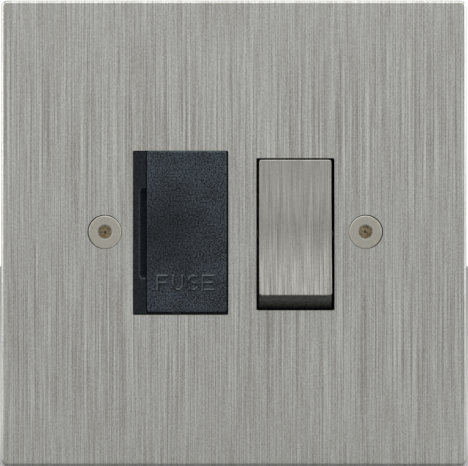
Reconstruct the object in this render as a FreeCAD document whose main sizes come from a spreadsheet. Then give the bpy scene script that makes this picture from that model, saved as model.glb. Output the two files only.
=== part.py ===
import FreeCAD, Part
import math
import os
import re
import Sketcher

# Fused spur unit: a square steel plate with a fuse carrier on the left and a rocker switch on the right.
# Millimetres, Z up. The wall is the plane Y = 0 and the viewer stands on the -Y side.

os.makedirs("parts", exist_ok=True)
doc = FreeCAD.newDocument("FusedSpurUnit")
V = FreeCAD.Vector
PIECES = []

# Sizes that can be set by themselves.
SIZES = {
    "plate_width": 86.0,
    "plate_height": 86.0,
    "plate_depth": 2.0,
    "plate_corner": 1.1,
    "plate_edge": 0.6,
    "back_recess": 0.4,
    "back_rim": 5.0,
    "window_corner": 0.3,
    "fuse_window_width": 17.66,
    "fuse_window_height": 30.35,
    "fuse_window_middle": -9.82,
    "fuse_window_rise": 0.065,
    "rocker_window_width": 14.46,
    "rocker_window_height": 28.16,
    "rocker_middle": 11.36,
    "rocker_window_shift": 0.04,
    "rocker_drop": -0.2,
    "screw_step": 4.795,
    "screw_middle": 0.28,
    "screw_rise": 0.2,
    "screw_end": 7.0,
    "shank_radius": 1.5,
    "shank_gap": 0.05,
    "head_radius": 3.08,
    "head_sink": 0.02,
    "head_rim": 0.36,
    "head_cone": 1.1,
    "head_edge": 0.22,
    "socket_radius": 1.05,
    "socket_depth": 1.3,
    "socket_flare": 0.2,
    "lobe_radius": 0.3,
    "lobe_reach": 0.93,
    "pit_radius": 0.24,
    "sink_gap": 0.09,
    "seat_gap": 0.08,
    "hole_spread": 0.055,
    "hole_lift": 0.045,
    "bush_radius": 2.5,
    "bush_neck": 1.97,
    "bush_end": 6.0,
    "bush_hole_gap": 0.03,
    "frame_front": 2.2,
    "frame_thickness": 1.2,
    "frame_side": 5.3,
    "frame_end": 4.4,
    "frame_corner": 1.5,
    "frame_gap": 0.35,
    "lug_margin": 4.05,
    "lug_half_height": 6.5,
    "box_pitch": 60.3,
    "box_hole_radius": 1.95,
    "platform_margin": 0.66,
    "platform_end": 1.425,
    "housing_corner": 1.2,
    "strip_clearance": 0.06,
    "strip_width": 2.42,
    "strip_end_gap": 0.22,
    "strip_front": -2.2,
    "strip_edge": 0.2,
    "strip_gap": 0.18,
    "scoop_wall": 1.27,
    "scoop_radius": 2.62,
    "scoop_half": 8.25,
    "scoop_lip": 0.5,
    "scoop_corner": 0.55,
    "tab_width": 1.5,
    "tab_shift": 0.83,
    "drawer_side_gap": 0.36,
    "drawer_top_gap": 0.11,
    "drawer_bottom_gap": 0.61,
    "drawer_front": -2.6,
    "drawer_clearance": 0.1,
    "drawer_skin": 1.1,
    "drawer_corner": 0.4,
    "drawer_edge": 0.28,
    "carrier_inset": 0.74,
    "carrier_end": 1.275,
    "carrier_wall": 1.2,
    "carrier_depth": 3.6,
    "end_wall": 1.0,
    "chamber_side_gap": 0.3,
    "chamber_end_gap": 0.2,
    "saddle_length": 3.5,
    "saddle_step": 2.7,
    "leg_half": 3.0,
    "leg_gap": 0.4,
    "leg_back_gap": 3.4,
    "nib_reach": 0.4,
    "nib_height": 0.8,
    "nib_stop": 1.6,
    "fuse_depth": 6.0,
    "fuse_end_gap": 0.2,
    "fuse_cap_radius": 3.175,
    "fuse_cap_length": 5.5,
    "fuse_barrel_radius": 3.0,
    "clip_width": 4.5,
    "clip_sheet": 0.6,
    "clip_gap": 0.225,
    "cheek_gap": 0.055,
    "lip_step": 0.4,
    "terminal_rise": 3.0,
    "terminal_depth": 9.0,
    "terminal_width": 7.4,
    "terminal_gap": 1.0,
    "terminal_inner": 18.5,
    "terminal_outer": 25.5,
    "terminal_end_wall": 1.5,
    "supply_earth_x": -12.0,
    "load_earth_x": 3.0,
    "wire_hole_radius": 2.2,
    "wire_inset": 3.5,
    "window_margin": 0.5,
    "clamp_radius": 1.75,
    "clamp_head": 2.7,
    "clamp_head_height": 2.0,
    "access_gap": 0.4,
    "blade_overlap": 5.0,
    "back_wall": 3.0,
    "screw_wall": 2.94,
    "screw_inset": 3.9,
    "screw_edge": 4.4,
    "housing_head": 2.75,
    "housing_head_height": 2.4,
    "slot_width": 0.8,
    "slot_depth": 0.9,
    "brass_sheet": 0.8,
    "contact_room": 9.6,
    "contact_width": 3.4,
    "contact_reach": 6.0,
    "contact_tilt": 11.5,
    "channel_gap": 0.1,
    "bar_half": 7.5,
    "bar_swing_gap": 2.3,
    "chamber_gap": 0.55,
    "button_radius": 1.2,
    "fixed_button_radius": 1.5,
    "fixed_rise": 2.8,
    "button_height": 0.52,
    "edge_gap": 0.03,
    "edge_height": 2.07,
    "bracket_rise": 5.3,
    "bracket_half": 1.2,
    "bracket_foot": 2.2,
    "link_step": 3.95,
    "pivot_depth": 5.23,
    "rocker_side_gap": 0.58,
    "cap_side_gap": 0.555,
    "cap_end_gap": 1.47,
    "cap_thickness": 0.8,
    "cap_overhang": 0.28,
    "cap_corner": 0.4,
    "cap_edge": 0.18,
    "shoulder_step": 0.21,
    "dish_radius": 88.37,
    "dish_rise": 8.37,
    "drum_reach": 0.67,
    "drum_gap": 0.4,
    "drum_back": 0.5,
    "rocker_wall": 1.2,
    "trunnion_radius": 1.25,
    "trunnion_length": 1.6,
    "trunnion_end_gap": 0.36,
    "boss_radius": 2.4,
    "post_radius": 2.6,
    "post_inset": 0.45,
    "post_root": 1.07,
    "post_floor": 1.1,
    "post_back": 3.0,
    "stem_radius": 1.55,
    "stem_low": -2.8,
    "nose_radius": 1.2,
    "nose_length": 1.5,
    "tip_length": 1.2,
    "tip_gap": 0.87,
    "spring_radius": 1.2,
    "spring_wire": 0.24,
    "spring_pitch": 1.2,
    "off_tilt": 8.0,
}

# Sizes and places worked out from those above.
WORKED_OUT = {
    "fuse_window_left": "fuse_window_middle - fuse_window_width / 2",
    "fuse_window_right": "fuse_window_middle + fuse_window_width / 2",
    "fuse_window_top": "fuse_window_rise + fuse_window_height / 2",
    "fuse_window_bottom": "fuse_window_rise - fuse_window_height / 2",
    "strip_left": "fuse_window_left + strip_clearance",
    "strip_right": "strip_left + strip_width",
    "scoop_middle": "strip_left + scoop_wall + scoop_radius",
    "drawer_left": "strip_right + strip_gap",
    "drawer_right": "fuse_window_right - drawer_side_gap",
    "drawer_top": "fuse_window_top - drawer_top_gap",
    "drawer_bottom": "fuse_window_bottom + drawer_bottom_gap",
    "fuse_middle": "(drawer_left + drawer_right) / 2",
    "carrier_half_width": "(drawer_right - drawer_left) / 2 - carrier_inset",
    "carrier_half_height": "fuse_window_height / 2 - carrier_end",
    "fuse_half_length": "carrier_half_height - end_wall - fuse_end_gap",
    "clip_middle": "fuse_half_length - fuse_cap_length / 2",
    "saddle_end": "clip_middle - clip_width / 2 - saddle_step",
    "link_low": "fuse_window_rise + clip_middle - link_step",
    "split_depth": "fuse_depth + fuse_cap_radius + clip_gap + clip_sheet",
    "terminal_front": "split_depth + terminal_rise",
    "terminal_back": "terminal_front + terminal_depth",
    "wire_depth": "terminal_front + wire_inset",
    "blade_end": "terminal_front + blade_overlap",
    "back_depth": "terminal_back + back_wall",
    "leg_end": "back_depth - leg_back_gap",
    "contact_pivot_depth": "back_depth - contact_room",
    "fixed_front": "contact_pivot_depth + fixed_rise",
    "bracket_front": "contact_pivot_depth + bracket_rise",
    "bracket_back": "bracket_front + brass_sheet",
    "rocker_width": "rocker_window_width - 2 * rocker_side_gap",
    "rocker_cap_width": "rocker_window_width - 2 * cap_side_gap",
    "pole_offset": "rocker_width / 2 - post_inset - post_radius",
    "drum_radius": "rocker_window_height / 2 + drum_reach",
    "post_front": "post_root - dish_rise",
    "line_x": "rocker_middle - pole_offset",
    "neutral_x": "rocker_middle + pole_offset",
    "housing_screw_x": "neutral_x + terminal_width / 2 + screw_wall",
    "housing_screw_z": "terminal_outer - screw_inset",
    "housing_width": "2 * housing_screw_x + 2 * screw_edge",
    "housing_height": "2 * terminal_outer + 2 * terminal_end_wall",
    "platform_left": "fuse_window_left - platform_margin",
    "platform_right": "rocker_middle + rocker_window_width / 2 + platform_margin",
    "platform_half": "max(fuse_window_height; rocker_window_height) / 2 + platform_end",
    "screw_pitch": "platform_right - platform_left + 2 * screw_step",
    "lug_reach": "box_pitch / 2 + lug_margin",
    "tip_depth": "contact_pivot_depth - pivot_depth - tip_gap",
}


def driven(text):
    """An expression whose sizes come from the sheet."""
    def swap(found):
        word = found.group()
        return "Sizes." + word if word in SIZES or word in WORKED_OUT else word
    return re.sub(r"[a-z][a-z_]*[a-z]", swap, str(text))


sheet = doc.addObject("Spreadsheet::Sheet", "Sizes")
for row_number, (word, value) in enumerate([*SIZES.items(), *WORKED_OUT.items()], start=1):
    sheet.set("A%d" % row_number, word)
    sheet.set("B%d" % row_number, "=" + value if word in WORKED_OUT else str(value))
    sheet.setAlias("B%d" % row_number, word)
doc.recompute()


def size(word):
    """The number that the sheet gives for a size."""
    return float(getattr(sheet, word))


def drive(thing, prop, text):
    thing.setExpression(prop, driven(text))


def about(middle, half):
    """The two ends of a stretch round its middle."""
    return ("%s - (%s)" % (middle, half), "%s + %s" % (middle, half))


def row(sign, low, high, middle="0"):
    """A pair of heights above or below a middle."""
    if sign > 0:
        return ("%s + %s" % (middle, low), "%s + %s" % (middle, high))
    return ("%s - (%s)" % (middle, high), "%s - (%s)" % (middle, low))


def box(name, x, y, z):
    """A block between two values on each axis."""
    block = doc.addObject("Part::Box", name)
    for prop, axis, (low, high) in (("Length", "x", x), ("Width", "y", y), ("Height", "z", z)):
        drive(block, prop, "(%s) - (%s)" % (high, low))
        drive(block, "Placement.Base." + axis, low)
    return block


TURN = {
    "x": FreeCAD.Rotation(V(0, 1, 0), 90),
    "y": FreeCAD.Rotation(V(1, 0, 0), -90),
    "z": FreeCAD.Rotation(),
}


def place_along(solid, axis, centre, low, high):
    """Stand a round solid along an axis. The centre gives the two other coordinates in the order x, y, z."""
    solid.Placement = FreeCAD.Placement(V(), TURN[axis])
    drive(solid, "Height", "(%s) - (%s)" % (high, low))
    others = [word for word in "xyz" if word != axis]
    drive(solid, "Placement.Base." + axis, low)
    drive(solid, "Placement.Base." + others[0], centre[0])
    drive(solid, "Placement.Base." + others[1], centre[1])
    return solid


def rod(name, axis, radius, centre, low, high):
    solid = doc.addObject("Part::Cylinder", name)
    drive(solid, "Radius", radius)
    return place_along(solid, axis, centre, low, high)


def prism(name, axis, sides, radius, centre, low, high):
    solid = doc.addObject("Part::Prism", name)
    solid.Polygon = sides
    drive(solid, "Circumradius", radius)
    return place_along(solid, axis, centre, low, high)


def cone(name, axis, low_radius, high_radius, centre, low, high):
    solid = doc.addObject("Part::Cone", name)
    drive(solid, "Radius1", low_radius)
    drive(solid, "Radius2", high_radius)
    return place_along(solid, axis, centre, low, high)


def join(name, solids):
    if len(solids) == 1:
        return solids[0]
    whole = doc.addObject("Part::MultiFuse", name)
    whole.Shapes = solids
    whole.Refine = True
    return whole


def cut(name, base, tools):
    result = doc.addObject("Part::Cut", name)
    result.Base = base
    result.Tool = join(name + "Tool", tools)
    result.Refine = True
    return result


def common(name, one, other):
    result = doc.addObject("Part::MultiCommon", name)
    result.Shapes = [one, other]
    return result


def edges_where(shape, test):
    return [i for i, edge in enumerate(shape.Edges, start=1) if test(edge)]


def along(edge, direction):
    if edge.Curve.TypeId != "Part::GeomLine":
        return False
    way = edge.Vertexes[-1].Point.sub(edge.Vertexes[0].Point)
    return way.Length > 1e-6 and abs(way.normalize().dot(direction)) > 0.9999


def rounded(name, base, radius, test, kind="Fillet"):
    """Round or bevel the edges that pass the test."""
    doc.recompute()
    result = doc.addObject("Part::" + kind, name)
    result.Base = base
    result.Edges = [(i, size(radius), size(radius)) for i in edges_where(base.Shape, test)]
    return result


def piece(solid, node):
    """Name a finished sub-part."""
    solid.Label = node
    PIECES.append(solid)
    return solid


def plane_of(body, role):
    for feature in body.Origin.OriginFeatures:
        if feature.Role == role:
            return feature


def sketch_on(body, name, role, at):
    """A sketch on an origin plane, shifted by (across, up, along the plane's normal)."""
    sketch = body.newObject("Sketcher::SketchObject", name)
    sketch.AttachmentSupport = [(plane_of(body, role), "")]
    sketch.MapMode = "FlatFace"
    for axis, value in zip("xyz", at):
        drive(sketch, "AttachmentOffset.Base." + axis, value)
    return sketch


def rectangle(sketch, width, height):
    """A rectangle centred on the sketch's origin."""
    corners = [V(-5, -5, 0), V(5, -5, 0), V(5, 5, 0), V(-5, 5, 0)]
    for i in range(4):
        sketch.addGeometry(Part.LineSegment(corners[i], corners[(i + 1) % 4]), False)
    for i in range(4):
        sketch.addConstraint(Sketcher.Constraint("Coincident", i, 2, (i + 1) % 4, 1))
    for i, way in enumerate(("Horizontal", "Vertical", "Horizontal", "Vertical")):
        sketch.addConstraint(Sketcher.Constraint(way, i))
    sketch.addConstraint(Sketcher.Constraint("Symmetric", 0, 1, 2, 1, -1, 1))
    for kind, side, word, text in (("DistanceX", 0, "width", width), ("DistanceY", 1, "height", height)):
        number = sketch.addConstraint(Sketcher.Constraint(kind, side, 1, side, 2, 10.0))
        sketch.renameConstraint(number, word)
        sketch.setExpression("Constraints." + word, driven(text))


def feature(body, kind, name, sketch, length, reverse=False):
    """A pad or a pocket of a sketch."""
    made = body.newObject("PartDesign::" + kind, name)
    made.Profile = sketch
    drive(made, "Length", length)
    made.Reversed = reverse
    body.Tip = made
    doc.recompute()
    return made


def dress(body, name, base, radius, test):
    """Round a body's edges that pass the test."""
    made = body.newObject("PartDesign::Fillet", name)
    made.Base = (base, ["Edge%d" % i for i in edges_where(base.Shape, test)])
    drive(made, "Radius", radius)
    body.Tip = made
    doc.recompute()
    return made


# Front plate: pad, rounded corners and front edge, two windows, a shallow recess in the back, screw sinks.
SIDES = (("left", -1), ("right", 1))


def screw_x(sign):
    return "screw_middle + %d * screw_pitch / 2" % sign


def front_plate():
    plate = doc.addObject("PartDesign::Body", "PlateBody")
    outline = sketch_on(plate, "PlateOutline", "XZ_Plane", (0, 0, 0))
    rectangle(outline, "plate_width", "plate_height")
    slab = feature(plate, "Pad", "PlateSlab", outline, "plate_depth")
    corners = dress(plate, "PlateCorners", slab, "plate_corner", lambda e: along(e, V(0, 1, 0)))
    front = corners.Shape.BoundBox.YMin
    dress(plate, "PlateRim", corners, "plate_edge", lambda e: e.BoundBox.YMax < front + 0.001)
    windows = (
        ("FuseWindow", "fuse_window_middle", "fuse_window_rise", "fuse_window_width", "fuse_window_height"),
        ("RockerWindow", "rocker_middle + rocker_window_shift", "rocker_drop", "rocker_window_width", "rocker_window_height"),
    )
    for name, across, up, width, height in windows:
        window = sketch_on(plate, name + "Sketch", "XZ_Plane", (across, up, "plate_depth + 1"))
        rectangle(window, width, height)
        opened = feature(plate, "Pocket", name, window, "plate_depth + 2")
    inside = size("plate_width") / 2 - size("back_rim")
    dress(plate, "WindowCorners", opened, "window_corner",
          lambda e: along(e, V(0, 1, 0)) and abs(e.CenterOfMass.x) < inside)
    recess = sketch_on(plate, "BackRecessSketch", "XZ_Plane", (0, 0, -1))
    rectangle(recess, "plate_width - 2 * back_rim", "plate_height - 2 * back_rim")
    feature(plate, "Pocket", "BackRecess", recess, "1 + back_recess", True)
    sinks = []
    step = "head_sink + head_rim + seat_gap - plate_depth"
    for side, sign in SIDES:
        at = (screw_x(sign) + " + %d * hole_spread" % sign, "screw_rise + hole_lift")
        sinks.append(rod("SinkRim_" + side, "y", "head_radius + sink_gap", at, "-plate_depth - 0.1", step))
        sinks.append(cone("SinkCone_" + side, "y", "head_radius + sink_gap", "shank_radius + 3 * seat_gap",
                          at, step, step + " + head_cone + seat_gap / 4"))
        sinks.append(rod("SinkHole_" + side, "y", "shank_radius + 3 * seat_gap", at, step, "0.5"))
    piece(cut("PlateDrilled", plate, sinks), "front_plate")


# The two plate screws with their six-lobed recess, and the bushes of the frame that they enter.
RECESS_TURN = {"left": 30, "right": 22}


def plate_screw(side, sign):
    x = screw_x(sign)
    front = "head_sink - plate_depth"
    blank = join("ScrewBlank_" + side, [
        rod("ScrewRim_" + side, "y", "head_radius", (x, "screw_rise"), front, front + " + head_rim"),
        cone("ScrewCone_" + side, "y", "head_radius", "shank_radius", (x, "screw_rise"),
             front + " + head_rim", front + " + head_rim + head_cone"),
        rod("ScrewShank_" + side, "y", "shank_radius", (x, "screw_rise"), front + " + head_rim", "screw_end"),
    ])
    face = size("head_sink") - size("plate_depth")
    head = rounded("ScrewHead_" + side, blank, "head_edge",
                   lambda e: e.BoundBox.YMax < face + 0.01)
    floor = front + " + socket_depth"
    socket = [
        rod("Socket_" + side, "y", "socket_radius", (x, "screw_rise"), front + " - 0.1", floor),
        cone("SocketFlare_" + side, "y", "lobe_reach + lobe_radius + socket_flare",
             "lobe_reach + lobe_radius + 0.03", (x, "screw_rise"), front, front + " + socket_flare / 2"),
        cone("SocketPit_" + side, "y", "pit_radius", "pit_radius / 4", (x, "screw_rise"),
             floor, floor + " + pit_radius"),
    ]
    for i in range(6):
        turn = math.radians(60 * i + RECESS_TURN[side])
        at = ("%s + %.5f * lobe_reach" % (x, math.cos(turn)),
              "screw_rise + %.5f * lobe_reach" % math.sin(turn))
        socket.append(rod("Lobe%d_%s" % (i, side), "y", "lobe_radius", at, front + " - 0.1", floor))
    piece(cut("PlateScrew_" + side, head, socket), "plate_screw_" + side)


def frame_bush(side, sign):
    at = (screw_x(sign), "screw_rise")
    behind = "frame_front + frame_thickness"
    blank = join("BushBlank_" + side, [
        prism("BushCollar_" + side, "y", 6, "bush_radius", at, "-back_recess", "frame_front"),
        rod("BushNeck_" + side, "y", "bush_neck", at, "frame_front", behind),
        prism("BushTail_" + side, "y", 6, "bush_radius", at, behind, "bush_end"),
    ])
    bore = rod("BushBore_" + side, "y", "shank_radius + shank_gap", at, "-back_recess - 1", "bush_end + 1")
    piece(cut("Bush_" + side, blank, [bore]), "frame_bush_" + side)


# Mounting frame: a flat steel sheet behind the plate, screwed to the wall box by its two side lugs.
CORNERS = (("top_left", -1, 1), ("top_right", 1, 1), ("bottom_left", -1, -1), ("bottom_right", 1, -1))


def corner_at(sx, sz):
    return ("%d * housing_screw_x" % sx, "%d * housing_screw_z" % sz)


def mounting_frame():
    depth = ("frame_front", "frame_front + frame_thickness")
    through = ("frame_front - 1", "frame_front + frame_thickness + 1")
    blank = join("FrameSheet", [
        box("FrameMain", about("0", "housing_screw_x + frame_side"), depth,
            about("0", "housing_screw_z + frame_end")),
        box("FrameLugs", about("0", "lug_reach"), depth, about("0", "lug_half_height")),
    ])
    trimmed = rounded("FrameRounded", blank, "frame_corner", lambda e: along(e, V(0, 1, 0)))
    openings = [box("FrameOpening", ("platform_left - frame_gap", "platform_right + frame_gap"), through,
                    about("0", "platform_half + frame_gap"))]
    for side, sign in SIDES:
        openings.append(rod("BushHole_" + side, "y", "bush_neck + bush_hole_gap",
                            (screw_x(sign), "screw_rise"), *through))
        openings.append(rod("BoxHole_" + side, "y", "box_hole_radius",
                            ("%d * box_pitch / 2" % sign, 0), *through))
    for word, sx, sz in CORNERS:
        openings.append(rod("FrameTap_" + word, "y", "shank_radius + shank_gap", corner_at(sx, sz), *through))
    piece(cut("MountingFrame", trimmed, openings), "mounting_frame")


# Terminals: name, middle across, and +1 for the top row or -1 for the bottom row.
TERMINALS = (
    ("supply_earth", "supply_earth_x", 1),
    ("supply_line", "neutral_x - terminal_width - terminal_gap", 1),
    ("supply_neutral", "neutral_x", 1),
    ("load_line", "fuse_middle", -1),
    ("load_earth", "load_earth_x", -1),
    ("load_neutral", "neutral_x", -1),
)
POLES = (("line", "line_x"), ("neutral", "neutral_x"))
BLADE = "contact_width / 2"
CHANNEL = "contact_width / 2 + channel_gap"
BEHIND_FRAME = "frame_front + frame_thickness"


def strap_span(sign, gap="0"):
    """Heights of a blade that stands against a terminal's inner face."""
    return row(sign, "terminal_inner - brass_sheet - (%s)" % gap, "terminal_inner + %s" % gap)


# Front housing: block behind the frame, platform through it, and the fixed strip beside the drawer.
def front_housing():
    solids = [
        box("FrontBlock", about("0", "housing_width / 2"), (BEHIND_FRAME, "split_depth"),
            about("0", "housing_height / 2")),
        box("Platform", ("platform_left", "platform_right"), ("-back_recess", BEHIND_FRAME + " + 0.5"),
            about("0", "platform_half")),
        box("FixedStrip", ("strip_left", "strip_right"), ("strip_front", "0.5 - back_recess"),
            ("fuse_window_bottom + strip_end_gap", "fuse_window_top - strip_end_gap")),
        box("BottomTab", about("fuse_window_middle - tab_shift", "tab_width / 2"),
            ("strip_front", "0.5 - back_recess"),
            ("fuse_window_bottom + strip_clearance / 2", "drawer_bottom - strip_clearance")),
    ]
    for word, x, sign in TERMINALS:
        solids.append(box("Rib_" + word, about(x, "terminal_width / 2 - 1.5"),
                          ("split_depth - 0.5", "terminal_front - seat_gap"),
                          row(sign, "terminal_inner + 1.5", "terminal_outer - 1.5")))
    inside = ("-3", "split_depth + 1")
    scoop = rod("Scoop", "z", "scoop_radius", ("scoop_middle", "strip_front - 0.1"),
                *about("fuse_window_rise", "scoop_half"))
    tools = [
        rounded("ScoopEnds", scoop, "scoop_corner", lambda e: isinstance(e.Curve, Part.Circle)),
        box("FuseChamber", about("fuse_middle", "carrier_half_width + chamber_side_gap"), inside,
            about("fuse_window_rise", "carrier_half_height + chamber_end_gap")),
        box("NibGrooves", about("fuse_middle", "carrier_half_width + nib_reach + chamber_side_gap"),
            ("nib_stop", "split_depth + 1"), about("fuse_window_rise", "leg_half + leg_gap")),
        box("RockerWell", about("rocker_middle", "rocker_window_width / 2"), inside,
            about("rocker_drop", "drum_radius + drum_gap")),
        rod("PivotHole", "x", "trunnion_radius + shank_gap", ("pivot_depth", "rocker_drop"),
            *about("rocker_middle", "rocker_width / 2 + trunnion_length + trunnion_end_gap")),
        box("TailGroove", about("fuse_middle", BLADE + " + 2 * channel_gap"),
            ("split_depth - clip_sheet - channel_gap", "split_depth + 1"),
            ("-terminal_inner - channel_gap", "fuse_window_rise - carrier_half_height")),
    ]
    notch_depth = ("0", "screw_end + 1.5")
    tools.append(box("SideNotchLeft", ("-housing_width / 2 - 1", screw_x(-1) + " + bush_radius + 0.4"),
                     notch_depth, about("screw_rise", "bush_radius + 0.7")))
    tools.append(box("SideNotchRight", (screw_x(1) + " - bush_radius - 0.4", "housing_width / 2 + 1"),
                     notch_depth, about("screw_rise", "bush_radius + 0.7")))
    for word, sx, sz in CORNERS:
        tools.append(rod("FrontScrewHole_" + word, "y", "shank_radius + 2 * shank_gap", corner_at(sx, sz), 0,
                         "split_depth + 1"))
    for word, x, sign in TERMINALS:
        if "earth" in word:
            tools.append(box("StrapSlot_" + word, about(x, CHANNEL), (0, "split_depth + 1"),
                             strap_span(sign, "channel_gap")))
    hollowed = cut("FrontHollowed", join("FrontBlank", solids), tools)
    edge_x = size("housing_width") / 2 - 1
    edge_z = size("housing_height") / 2 - 1
    cornered = rounded("FrontCorners", hollowed, "housing_corner",
                       lambda e: along(e, V(0, 1, 0)) and abs(e.CenterOfMass.x) > edge_x
                       and abs(e.CenterOfMass.z) > edge_z)
    front = size("strip_front")

    def in_face(e):
        box = e.BoundBox
        return abs(box.YMin - front) + abs(box.YMax - front) < 0.01

    def on_lip(e):
        """Edges where the scoop meets the face of the strip."""
        middle = e.CenterOfMass
        end = abs(abs(middle.z - size("fuse_window_rise")) - size("scoop_half")) < size("scoop_corner")
        wall = abs(middle.x - size("strip_left") - size("scoop_wall")) < size("scoop_corner")
        return in_face(e) and (end or wall and abs(middle.z) < size("scoop_half"))

    def on_edge(e):
        return in_face(e) and along(e, V(0, 0, 1)) and abs(e.CenterOfMass.x - size("strip_right")) < 0.05

    lipped = rounded("ScoopLip", cornered, "scoop_lip", on_lip)
    piece(rounded("FrontHousing", lipped, "strip_edge", on_edge), "front_housing")


# Rear housing: leg well, contact chamber, terminal pockets with wire windows, and holes for the screws.
def rear_housing():
    block = box("RearBlock", about("0", "housing_width / 2"), ("split_depth", "back_depth"),
                about("0", "housing_height / 2"))
    cornered = rounded("RearCorners", block, "housing_corner", lambda e: along(e, V(0, 1, 0)))
    back = size("back_depth") - 0.1
    blank = rounded("RearBevel", cornered, "slot_width", lambda e: e.BoundBox.YMin > back, "Chamfer")
    front = "split_depth - 1"
    link_heights = ("link_low - channel_gap", "link_low + contact_width + channel_gap")
    tools = [
        box("LegWell", about("fuse_middle", "carrier_half_width + nib_reach + chamber_side_gap"),
            (front, "leg_end + 0.6"), about("fuse_window_rise", "leg_half + 0.5")),
        box("ContactChamber", about("rocker_middle", "pole_offset + " + BLADE + " + chamber_gap"),
            (front, "bracket_back"), about("rocker_drop", "bar_half + bar_swing_gap")),
        box("LinkSlot", about("fuse_middle", "brass_sheet / 2 + channel_gap"),
            (front, "bracket_back + channel_gap"), link_heights),
        box("LinkChannel", ("fuse_middle - brass_sheet / 2 - channel_gap", "line_x + " + CHANNEL),
            ("bracket_front - channel_gap", "bracket_back + channel_gap"), link_heights),
        box("TailSlot", about("fuse_middle", BLADE + " + 2 * channel_gap"),
            (front, "blade_end + 2 * channel_gap"), strap_span(-1, "channel_gap")),
        box("NeutralChannel", about("neutral_x", CHANNEL), ("bracket_front - channel_gap", "bracket_back"),
            ("-terminal_inner", "rocker_drop - bar_half")),
    ]
    for word, x in POLES:
        tools.append(box("FixedChannel_" + word, about(x, CHANNEL),
                         ("fixed_front - channel_gap", "fixed_front + brass_sheet + channel_gap"),
                         ("rocker_drop + bar_half", "terminal_inner")))
    for word, x, sign in TERMINALS:
        tools.append(box("Pocket_" + word, about(x, "terminal_width / 2 + channel_gap"),
                         (front, "terminal_back"),
                         row(sign, "terminal_inner - channel_gap", "terminal_outer + channel_gap")))
        tools.append(rod("WireWindow_" + word, "z", "wire_hole_radius + window_margin", (x, "wire_depth"),
                         *row(sign, "terminal_outer", "housing_height / 2 + 1")))
        middle = "%d * (terminal_inner + terminal_outer) / 2" % sign
        tools.append(rod("ScrewAccess_" + word, "y", "clamp_head + access_gap", (x, middle), "terminal_back",
                         "back_depth + 1"))
        if "earth" in word:
            tools.append(box("StrapWell_" + word, about(x, CHANNEL), (front, "blade_end + 2 * channel_gap"),
                             strap_span(sign, "channel_gap")))
    for word, sx, sz in CORNERS:
        tools.append(rod("RearScrewHole_" + word, "y", "shank_radius + 2 * shank_gap", corner_at(sx, sz),
                         front, "back_depth + 1"))
        tools.append(rod("RearScrewSink_" + word, "y", "housing_head + 3 * shank_gap", corner_at(sx, sz),
                         "back_depth - housing_head_height - 0.6", "back_depth + 1"))
    piece(cut("RearHousing", blank, tools), "rear_housing")


# Fuse carrier: face, undercut for the finger, plug walls, saddles for the fuse and two captive legs.
def fuse_carrier():
    drawer = doc.addObject("PartDesign::Body", "DrawerBody")
    middle_z = "(drawer_top + drawer_bottom) / 2"
    face = sketch_on(drawer, "DrawerFace", "XZ_Plane",
                     ("fuse_middle", middle_z, "back_recess + drawer_clearance"))
    rectangle(face, "drawer_right - drawer_left", "drawer_top - drawer_bottom")
    pad = feature(drawer, "Pad", "DrawerPad", face, "-drawer_front - back_recess - drawer_clearance")
    corners = dress(drawer, "DrawerCorners", pad, "drawer_corner", lambda e: along(e, V(0, 1, 0)))
    front = corners.Shape.BoundBox.YMin
    dress(drawer, "DrawerEdge", corners, "drawer_edge", lambda e: e.BoundBox.YMax < front + 0.001)
    root = "-back_recess - drawer_clearance - 0.3"
    solids = [drawer]
    for side, sign in SIDES:
        wall = [("fuse_middle + %d * (%s)" % (sign, text)) for text in
                ("carrier_half_width", "carrier_half_width - carrier_wall")]
        nib = [("fuse_middle + %d * (%s)" % (sign, text)) for text in
               ("carrier_half_width + nib_reach", "carrier_half_width - 0.2")]
        if sign > 0:
            wall.reverse()
            nib.reverse()
        solids.append(box("SideWall_" + side, wall, (root, "carrier_depth"),
                          about("fuse_window_rise", "carrier_half_height")))
        solids.append(box("Leg_" + side, wall, (root, "leg_end"), about("fuse_window_rise", "leg_half")))
        solids.append(box("Nib_" + side, nib, ("leg_end - nib_height", "leg_end"),
                          about("fuse_window_rise", "leg_half")))
    middle = "fuse_window_rise"
    for word, sign in (("top", 1), ("bottom", -1)):
        solids.append(box("EndWall_" + word, about("fuse_middle", "carrier_half_width"),
                          (root, "carrier_depth"),
                          row(sign, "carrier_half_height - end_wall", "carrier_half_height", middle)))
        solids.append(box("Saddle_" + word, about("fuse_middle", "carrier_half_width - carrier_wall + 0.2"),
                          (root, "fuse_depth + 1.4"),
                          row(sign, "saddle_end - saddle_length", "saddle_end", middle)))
    finger = common("Undercut",
                    rod("UndercutRound", "z", "scoop_radius", ("scoop_middle", "strip_front - 0.1"),
                        *about("fuse_window_rise", "scoop_half")),
                    box("UndercutLimit", ("fuse_window_left", "fuse_middle"),
                        ("drawer_front + drawer_skin", 2), about("fuse_window_rise", "scoop_half + 1")))
    grip = rod("SaddleBore", "z", "fuse_barrel_radius + shank_gap", ("fuse_middle", "fuse_depth"),
               *about("fuse_window_rise", "saddle_end + 1"))
    mouth = box("SaddleMouth", about("fuse_middle", "fuse_barrel_radius - 0.3"),
                ("fuse_depth + 0.5", "fuse_depth + 3"), about("fuse_window_rise", "saddle_end + 1"))
    piece(cut("FuseCarrier", join("CarrierBlank", solids), [finger, grip, mouth]), "fuse_carrier")


# The cartridge fuse in the carrier.
ENDS = (("upper", 1), ("lower", -1))


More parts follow.
